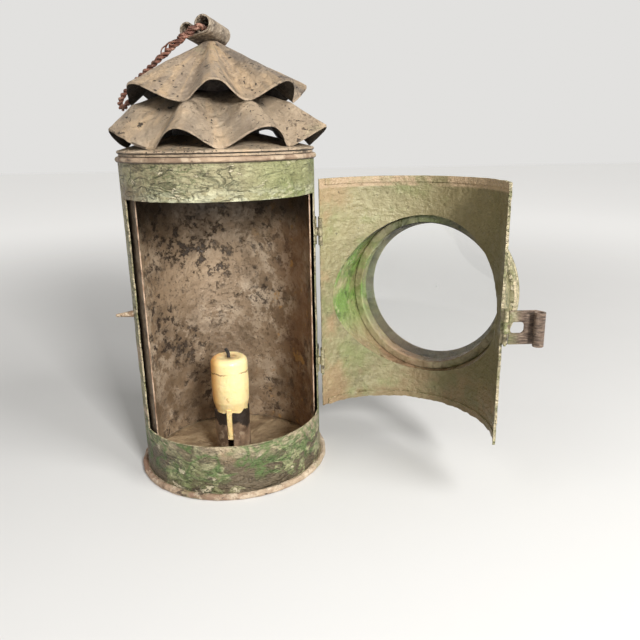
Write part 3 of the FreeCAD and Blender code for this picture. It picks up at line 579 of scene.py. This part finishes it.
def socket_tin(name):
    """The socket: rusty tin, burnt black round its split top."""
    f = Finish(name, metallic=0.2)
    coat = Coat(f, (0.120, 0.074, 0.045), (0.350, 0.235, 0.145), f.patches(85, 0.36, 0.60))
    coat.lay((0.48, 0.36, 0.24), 0.6, f.patches(190, 0.56, 0.62, (0.3, 0.3, 0.8)))
    burnt_line = f.ragged_height(0.008, 140, 0.2, 0.8, (0.4, 0.1, 0.4))
    coat.lay((0.018, 0.014, 0.012), 0.92, f.above(burnt_line, 0.0235, 0.0262))
    rough = f.level(f.patches(120, 0.3, 0.7), 0.30, 0.65)
    return f.done(coat.colour, rough, f.bump(f.patches(110, 0.2, 0.8), 0.0007))


def charred(name):
    f = Finish(name)
    soot = f.over(f.patches(500, 0.4, 0.6), (0.012, 0.010, 0.009), (0.05, 0.04, 0.035))
    return f.done(soot, f.level(f.patches(300, 0.3, 0.7), 0.8, 1.0), f.bump(f.patches(700, 0.2, 0.8), 0.0005))


def old_glass(name):
    """Thin clear glass, faintly dusty."""
    f = Finish(name)
    f.shader.inputs["Transmission Weight"].default_value = 1.0
    f.shader.inputs["IOR"].default_value = 1.45
    dust = f.patches(40, 0.56, 0.75, detail=3.0)
    tone = f.over(f.both(dust, 0.12), (0.965, 0.972, 0.968), (0.80, 0.79, 0.75))
    return f.done(tone, f.level(dust, 0.01, 0.08))


def tube_finish(name):
    """Old paint outside the lens tube, and the bore's own colours inside it."""
    tones = colours()
    f = Finish(name)
    away = f.vector("SUBTRACT", f.point, (door_centre.x, door_centre.y, lens_height))
    along = f.vector("PROJECT", away, (math.cos(lens_turn), math.sin(lens_turn), 0.0))
    facing = f.vector("DOT_PRODUCT", f.vector("SUBTRACT", away, along), f.normal, output="Value")
    outer = Coat(f, (0.235, 0.205, 0.105), tones.paint_sage, f.patches(30, 0.38, 0.62))
    outer.lay(tones.rust, 0.7, f.patches(46, 0.54, 0.64, detail=9.0))
    outer.lay(tones.paint_emerald, 0.6, f.patches(24, 0.48, 0.64, (0.3, 0.1, 0.7)))
    outer.lay((0.055, 0.070, 0.022), 0.7, f.wrinkles(90, 0.05))
    colour = f.over(f.above(facing, -0.02, 0.02), tube_bore(f), outer.colour)
    lumpy = f.bump(f.patches(60, 0.2, 0.8), sizes().lump_height * 2.2)
    rough = f.level(f.patches(120, 0.3, 0.7), 0.14, 0.42)
    return f.done(colour, rough, f.bump(f.patches(300, 0.3, 0.7), 0.0003, lumpy))


def floor_finish(name):
    """Pale floor, which shines out to the room's own tone where no lamp reaches it."""
    f = Finish(name)
    f.shader.inputs["Specular IOR Level"].default_value = 0.2
    tone = colours().floor
    paler = tuple(min(1.0, channel * 1.03) for channel in tone)
    far = f.above(f.facing(output="Radius"), 0.20, 1.10)
    glow = f.over(f.both(f.seen(), far), (0.0, 0.0, 0.0), (0.47, 0.465, 0.455))
    f.feed(f.shader.inputs["Emission Color"], glow)
    f.shader.inputs["Emission Strength"].default_value = 1.0
    return f.done(f.over(f.patches(3, 0.3, 0.7), tuple(tone), paler), 0.8)


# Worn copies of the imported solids

def clear_selection():
    if bpy.context.mode != "OBJECT":
        bpy.ops.object.mode_set(mode="OBJECT")
    bpy.ops.object.select_all(action="DESELECT")


def every(step, low, high):
    """Levels one step apart between two heights."""
    return [low + step * index for index in range(1, int((high - low) / step))]


def knocked(place, wide, fine):
    """Where a point of old sheet goes: pushed about by broad dents and by fine wrinkles."""
    dent = noise.noise_vector(place * dents_per_metre) * wide
    return place + dent + noise.noise_vector(place * wrinkles_per_metre) * fine


def shell_knock(place):
    """The body's sheet: dented, its doorway's edges more so, its left edge most."""
    left_edge = -153.0
    dented_degrees = 14.0
    from_edge = abs(math.degrees(math.atan2(place.y, place.x)) - left_edge)
    near_left = max(0.0, 1.0 - from_edge / dented_degrees)
    wave = noise.noise(Vector((3.1, 0.7, place.z * 62.0))) * 0.00028
    wave += noise.noise(Vector((8.1, 4.7, place.z * 180.0))) * 0.00018
    doorway = 1.0 if doorway_foot < place.z < doorway_top and place.y < -0.004 else 0.35
    outwards = Vector((place.x, place.y, 0.0)).normalized()
    return knocked(place, 0.00020, 0.00017 * doorway) + outwards * (abs(wave) * near_left)


def door_knock(place):
    """The door's sheet: nearly flat in its middle, ragged at its foot and along its free edge."""
    foot = max(0.0, 1.0 - (place.z - door_foot) / 0.004)
    free = max(0.0, 1.0 - (0.1335 - place.x) / 0.009)
    crumb = noise.noise_vector(place * 420.0) * (0.00045 * max(foot, free * 0.8))
    outwards = Vector((place.x - door_centre.x, place.y - door_centre.y, 0.0)).normalized()
    return knocked(place, 0.00012, 0.00008) + crumb + outwards * 0.00022


def cap_knock(place):
    return knocked(place, 0.00055, 0.00022)


def hood_knock(place):
    """The hood turns on the bead, so its edge stays nearly true."""
    cone = min(1.0, max(0.0, (place.z - hood_edge_top) / 0.002))
    return knocked(place, 0.00004 + 0.0003 * cone, 0.00004 + 0.00020 * cone)


def bead_knock(place):
    """The bead is lumpy outside and true inside and on top, where the hood runs."""
    outside = min(1.0, max(0.0, (math.hypot(place.x, place.y) - bead_true_radius) / 0.0008))
    lower = min(1.0, max(0.0, (bead_true_height - place.z) / 0.001))
    return knocked(place, 0.00003, 0.00003 + 0.00026 * (outside * lower))


def rim_knock(place):
    """The foot's rolled rim: lumpy, but flat where it stands."""
    moved = knocked(place, 0.0002, 0.00032)
    return Vector((moved.x, moved.y, max(moved.z, 0.0))) if place.z > rim_flat_height else place.copy()


def socket_knock(place):
    """The socket's top is torn and bent, its foot sound."""
    high = max(0.0, (place.z - socket_tear_foot) / 0.0073)
    tear = noise.noise(Vector((place.x * 330.0, place.y * 330.0, 2.0)))
    return knocked(place, 0.0001, 0.0001) + Vector((0.0, 0.0, tear * 0.0022 * high - 0.0006 * high))


def worn_copy(node, name, body, material, move, levels=(), turns=0):
    """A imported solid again, cut into short faces at the levels and turns and then knocked out of true."""
    clear_selection()
    mesh = nodes[node].data.copy()
    mesh.name = name
    piece = bpy.data.objects.new(name, mesh)
    bpy.context.collection.objects.link(piece)
    piece.select_set(True)
    bpy.context.view_layer.objects.active = piece
    bpy.ops.mesh.customdata_custom_splitnormals_clear()
    bpy.ops.object.mode_set(mode="EDIT")
    bpy.ops.mesh.select_all(action="SELECT")
    bpy.ops.mesh.remove_doubles(threshold=0.000001)
    centre = tuple(door_centre) if body == "door" else origin
    planes = [((0.0, 0.0, level), upwards) for level in levels]
    for index in range(turns):
        angle = math.pi * index / turns
        planes.append((centre, (math.sin(angle), -math.cos(angle), 0.0)))
    for place, normal in planes:
        bpy.ops.mesh.select_all(action="SELECT")
        bpy.ops.mesh.bisect(plane_co=place, plane_no=normal)
    bpy.ops.object.mode_set(mode="OBJECT")
    for vertex in mesh.vertices:
        vertex.co = move(vertex.co)
    bpy.ops.object.shade_smooth_by_angle(angle=math.radians(40.0))
    mesh.materials.clear()
    mesh.materials.append(material)
    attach(piece, body)
    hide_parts(node)


def paint(material, *names):
    """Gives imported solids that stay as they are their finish."""
    for name in names:
        mesh = nodes[name].data
        mesh.materials.clear()
        mesh.materials.append(material)


# The bail

def bail_route():
    """Points along the middle of the bail, from end to end inside the ear."""
    turn = math.radians(72.0)
    tilt = math.radians(8.6)
    slope = math.radians(30.79)
    ear_roll = Vector((0.0014, 0.0, 0.2178952))
    along = Vector((math.cos(turn) * math.cos(tilt), math.sin(turn) * math.cos(tilt), -math.sin(tilt)))
    flat = Vector((-math.sin(turn), math.cos(turn), 0.0))
    level_up = along.cross(flat)
    down = flat * math.cos(slope) - level_up * math.sin(slope)
    under = flat * -math.sin(slope) - level_up * math.cos(slope)
    near_side = [(0.0003, 0.0, 0.0), (0.0110, 0.0, 0.0), (0.0134, 0.0, 0.0), (0.0131, 0.013, 0.0),
                 (0.0105, 0.040, 0.0004), (0.0065, 0.0565, 0.0005)]
    lifts = [0.0, 0.0, 0.0, 0.002, 0.004, 0.004]
    tip = (0.0, 0.061, 0.003)
    far_side = [(s, d, u - lift) for (s, d, u), lift in zip(near_side, lifts)]
    outline = [(-s, d, u) for s, d, u in near_side] + [tip] + far_side[::-1]
    return [ear_roll + along * s + down * d + under * u for s, d, u in outline]


def curve_through(points, resolution):
    """A new curve that bends smoothly past the points given."""
    clear_selection()
    bpy.ops.curve.primitive_nurbs_path_add()
    curve = bpy.context.object
    curve.data.splines.clear()
    spline = curve.data.splines.new("NURBS")
    spline.points.add(len(points) - 1)
    for knot, place in zip(spline.points, points):
        knot.co = (*place, 1.0)
    spline.order_u = 3
    spline.use_endpoint_u = True
    spline.resolution_u = resolution
    return curve


def smooth_route(points):
    """The points of a smooth line past the corners given."""
    guide = curve_through(points, 24)
    mesh = bpy.data.meshes.new_from_object(guide)
    line = [vertex.co.copy() for vertex in mesh.vertices]
    bpy.data.meshes.remove(mesh)
    bpy.data.objects.remove(guide)
    return line


def evenly(line, step):
    """The same line with points one step apart."""
    spots = [line[0].copy()]
    carried = 0.0
    for a, b in zip(line, line[1:]):
        run = (b - a).length
        travelled = step - carried
        while travelled <= run:
            spots.append(a.lerp(b, travelled / run))
            travelled += step
        carried = run - (travelled - step)
    spots.append(line[-1].copy())
    return spots


def squared(line):
    """Each place on a line, two directions square to the line there, and the way travelled so far."""
    side = (line[1] - line[0]).orthogonal().normalized()
    travelled = 0.0
    for index, place in enumerate(line):
        before = line[max(index - 1, 0)]
        after = line[min(index + 1, len(line) - 1)]
        forward = (after - before).normalized()
        side = (side - forward * side.dot(forward)).normalized()
        travelled += (place - before).length
        yield place, side, forward.cross(side), travelled


def wire(name, places, thickness, roundness):
    """A closed tube of wire through the places given."""
    strand = curve_through(places, 2)
    strand.name = name
    strand.data.bevel_depth = thickness
    strand.data.bevel_resolution = roundness
    strand.data.use_fill_caps = True
    bpy.ops.object.convert(target="MESH")
    return bpy.context.object


def twisted_strand(line, radius, pitch, phase):
    """One wire that winds round a line."""
    places = []
    for place, side, other, travelled in squared(line):
        angle = phase + 2 * math.pi * travelled / pitch
        places.append(place + (side * math.cos(angle) + other * math.sin(angle)) * radius)
    return wire("bail_strand", places, radius, 2)


def loose_strand(line, thickness, spread, turns, phase, lift):
    """A broken wire wound loosely round the line, tucked in at both ends."""
    places = []
    for index, (place, side, other, _) in enumerate(squared(line)):
        share = index / (len(line) - 1)
        sway = noise.noise(Vector((share * 5.0, phase, turns)))
        angle = phase + 2 * math.pi * turns * share + sway * 1.6
        tucked = min(1.0, 6.0 * share, 5.0 * (1.0 - share))
        reach = spread * (0.65 + 0.45 * noise.noise(Vector((phase, share * 7.0, 1.3)))) * tucked
        arch = Vector((0.0, 0.0, lift * math.sin(math.pi * share)))
        places.append(place + (side * math.cos(angle) + other * math.sin(angle)) * reach + arch)
    return wire("bail_tangle", places, thickness, 1)


# Operators

class LANTERN_OT_stage(bpy.types.Operator):
    """Plain floor, soft lights and the camera"""
    bl_idname = "lantern.stage"
    bl_label = "Stage"

    def execute(self, context):
        clear_selection()
        bpy.ops.mesh.primitive_plane_add(size=6.0, location=(0.0, 0.0, -0.00005))
        floor = context.object
        floor.name = "stage_floor"
        floor.data.materials.append(floor_finish("stage_floor"))
        for name, place, target, width, power in (
                ("key_light", (0.46, -0.86, 0.52), (0.02, 0.0, 0.10), 0.20, 12.0),
                ("fill_light", (-0.50, -0.42, 0.95), (0.02, 0.0, 0.10), 0.5, 1.3),
                ("top_light", (0.62, -0.36, 0.82), (0.03, 0.0, 0.14), 0.35, 4.6)):
            bpy.ops.object.light_add(type="AREA", location=place)
            lamp = context.object
            lamp.name = name
            lamp.data.shape = "SQUARE"
            lamp.data.size = width
            lamp.data.energy = power
            lamp.rotation_euler = (Vector(target) - Vector(place)).to_track_quat("-Z", "Y").to_euler()
        plain_room(context.scene)
        photo_view(context)
        context.scene.view_settings.view_transform = "Standard"
        return {"FINISHED"}


def plain_room(scene):
    """Soft light from all round, brighter where the camera sees the room itself."""
    world = bpy.data.worlds.new("plain_room")
    scene.world = world
    world.use_nodes = True
    room = Nodes(world.node_tree)
    sky = room.tree.nodes["Background"]
    sky.inputs["Color"].default_value = (1.0, 0.99, 0.97, 1.0)
    strength = room.add("MapRange", {"Value": room.seen(), "To Min": 0.30, "To Max": 0.76}, "Result")
    room.feed(sky.inputs["Strength"], strength)


def photo_view(context):
    """The camera that took the photograph, as worked out from the body's circles."""
    bpy.ops.object.camera_add(location=(0.056365, -0.321888, 0.17222))
    camera = context.object
    camera.name = "photo_view"
    camera.data.sensor_width = 36.0
    camera.data.lens = 35.576
    camera.data.clip_start = 0.01
    pitch, yaw, roll = math.radians(16.446), math.radians(-1.301), math.radians(1.109)
    forward = Vector((math.sin(yaw) * math.cos(pitch), math.cos(yaw) * math.cos(pitch), -math.sin(pitch)))
    right = Vector((math.cos(yaw), -math.sin(yaw), 0.0))
    above = right.cross(forward)
    level = right * math.cos(roll) - above * math.sin(roll)
    above = right * math.sin(roll) + above * math.cos(roll)
    camera.rotation_euler = Matrix((level, above, -forward)).transposed().to_euler()
    context.scene.camera = camera


class LANTERN_OT_painted_sheet(bpy.types.Operator):
    """Old green paint on the body, the door, the lens tube and the hinges"""
    bl_idname = "lantern.painted_sheet"
    bl_label = "Painted sheet"

    def execute(self, context):
        # The body's inner face gets painted shade, near black, for the gap behind the shutter.
        body = old_paint("body_paint", emerald=0.45, rusty=0.3, inside=painted_gap_shade, band=foot_and_top_bands)
        worn_copy("outer_shell", "worn_shell", "lantern_body", body, shell_knock,
                  levels=every(0.0025, shell_foot, shell_top), turns=72)
        bead = rolled_bead("bead_paint")
        worn_copy("top_bead", "worn_bead", "lantern_body", bead, bead_knock)
        door = old_paint("door_paint", door_centre, rusty=0.4, inside=door_back, calm_inside=True)
        worn_copy("door_panel", "worn_door", "door", door, door_knock,
                  levels=every(0.0016, door_foot, door_top), turns=120)
        paint(tube_finish("tube_sheet"), "lens_tube", "retaining_ring")
        paint(old_paint("tube_paint", door_centre, emerald=0.55, rusty=0.45), "bezel_rim")
        leaves = rusty_iron("hinge_leaves", (0.120, 0.100, 0.055), (0.340, 0.300, 0.170), (0.56, 0.48, 0.30))
        paint(leaves, "body_hinge_leaf_upper", "door_hinge_leaf_upper", "body_hinge_leaf_lower",
              "door_hinge_leaf_lower", "hasp_leaf")
        return {"FINISHED"}


class LANTERN_OT_bare_tin(bpy.types.Operator):
    """Smoked and tarnished tin of the shutter, hood, neck, socket, foot and caps"""
    bl_idname = "lantern.bare_tin"
    bl_label = "Bare tin"

    def execute(self, context):
        paint(smoked_tin("smoked_tin"), "shutter")
        socket = socket_tin("socket_tin")
        worn_copy("candle_socket", "torn_socket", "lantern_body", socket, socket_knock,
                  levels=(0.008, 0.014, 0.018, 0.021, 0.0225, 0.024, 0.0255, 0.027), turns=40)
        worn_copy("upper_cap", "dented_upper_cap", "hood", cap_tin("cap_tin"), cap_knock)
        # The lower cap: paler as painted light, and near black towards its middle with soot and painted
        # shade.
        lower = cap_tin("lower_cap_tin", soot_and_shade_radius=0.032, painted_light=0.22)
        worn_copy("lower_cap", "dented_lower_cap", "hood", lower, cap_knock)
        # The hood: paler as painted light, where the lower cap shades it.
        cone = cap_tin("hood_tin", dusty=0.9, painted_light=0.5)
        worn_copy("hood_cone", "worn_hood", "hood", cone, hood_knock)
        worn_copy("bottom_pan", "worn_foot", "lantern_body", worn_rim("foot_rim"), rim_knock)
        # The neck near black: soot, and painted shade under the caps.
        neck = rusty_iron("sooty_neck", (0.014, 0.010, 0.008), (0.040, 0.028, 0.020), (0.065, 0.048, 0.034))
        paint(neck, "vent_neck")
        return {"FINISHED"}


class LANTERN_OT_iron_pieces(bpy.types.Operator):
    """Rusty iron of the hasp, stud, pins and rolled ear"""
    bl_idname = "lantern.iron_pieces"
    bl_label = "Iron pieces"

    def execute(self, context):
        iron = rusty_iron("hasp_iron", (0.070, 0.044, 0.030), (0.235, 0.160, 0.112), (0.40, 0.31, 0.23),
                          rows=7.0, green=0.8)
        paint(iron, "hasp", "hasp_pin", "hinge_pin_upper", "hinge_pin_lower")
        stud = rusty_iron("stud_iron", (0.290, 0.190, 0.115), (0.560, 0.440, 0.295), (0.70, 0.58, 0.42))
        paint(stud, "catch_stud")
        ear = rusty_iron("ear_iron", (0.120, 0.090, 0.062), (0.330, 0.260, 0.185), (0.52, 0.43, 0.32))
        paint(ear, "bail_ear")
        return {"FINISHED"}


class LANTERN_OT_candle_and_glass(bpy.types.Operator):
    """Wax, wick and glass"""
    bl_idname = "lantern.candle_and_glass"
    bl_label = "Candle and glass"

    def execute(self, context):
        paint(old_wax("candle_wax"), "candle")
        paint(charred("charred_wick"), "wick")
        paint(old_glass("thin_glass"), "lens_glass")
        return {"FINISHED"}


class LANTERN_OT_twisted_bail(bpy.types.Operator):
    """The bail: two rusty wires twisted together along the loop, with loose ends by the ear"""
    bl_idname = "lantern.twisted_bail"
    bl_label = "Twisted bail"

    def execute(self, context):
        size = sizes()
        step = size.twist_length / 10
        line = evenly(smooth_route(bail_route()), step)
        strands = [twisted_strand(line, size.wire_radius, size.twist_length, phase)
                   for phase in (0.0, math.pi)]
        for first, last, thickness, spread, turns, phase in (
                (0.010, 0.046, 0.00042, 0.0020, 3.2, 0.3), (0.011, 0.042, 0.00036, 0.0024, 2.1, 1.9),
                (0.010, 0.037, 0.00046, 0.0017, 4.3, 3.4), (0.012, 0.044, 0.00032, 0.0026, 1.4, 4.8),
                (0.014, 0.034, 0.00038, 0.0021, 5.2, 2.6), (0.011, 0.040, 0.00034, 0.0023, 2.7, 5.6)):
            run = line[int(first / step):int(last / step)]
            strands.append(loose_strand(run, thickness, spread, turns, phase, size.tangle_lift))
        clear_selection()
        for strand in strands:
            strand.select_set(True)
        context.view_layer.objects.active = strands[0]
        bpy.ops.object.join()
        bail = context.object
        bail.name = "twisted_bail"
        bpy.ops.object.shade_smooth()
        rust = rusty_iron("bail_rust", (0.075, 0.028, 0.018), (0.270, 0.115, 0.075), (0.46, 0.27, 0.19))
        bail.data.materials.clear()
        bail.data.materials.append(rust)
        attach(bail, "bail_loop")
        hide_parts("bail")
        return {"FINISHED"}


class LANTERN_PT_pieces(bpy.types.Panel):
    bl_label = "Lantern"
    bl_space_type = "VIEW_3D"
    bl_region_type = "UI"
    bl_category = "Lantern"

    def draw(self, context):
        column = self.layout.column()
        for operator in steps:
            column.operator(operator.bl_idname)
        scene = context.scene
        for owner, group in ((scene.lantern_sizes, LanternSizes), (scene.lantern_colours, LanternColours)):
            for label in group.__annotations__:
                column.prop(owner, label)


steps = (LANTERN_OT_stage, LANTERN_OT_painted_sheet, LANTERN_OT_bare_tin, LANTERN_OT_iron_pieces,
         LANTERN_OT_candle_and_glass, LANTERN_OT_twisted_bail)
classes = (LanternSizes, LanternColours, *steps, LANTERN_PT_pieces)


def register():
    for kind in classes:
        bpy.utils.register_class(kind)
    bpy.types.Scene.lantern_sizes = bpy.props.PointerProperty(type=LanternSizes)
    bpy.types.Scene.lantern_colours = bpy.props.PointerProperty(type=LanternColours)


def unregister():
    del bpy.types.Scene.lantern_colours
    del bpy.types.Scene.lantern_sizes
    for kind in reversed(classes):
        bpy.utils.unregister_class(kind)


def main():
    register()
    noise.seed_set(dents_seed)
    for step in (bpy.ops.lantern.stage, bpy.ops.lantern.painted_sheet, bpy.ops.lantern.bare_tin,
                 bpy.ops.lantern.iron_pieces, bpy.ops.lantern.candle_and_glass, bpy.ops.lantern.twisted_bail):
        step()


if __name__ == "__main__":
    main()
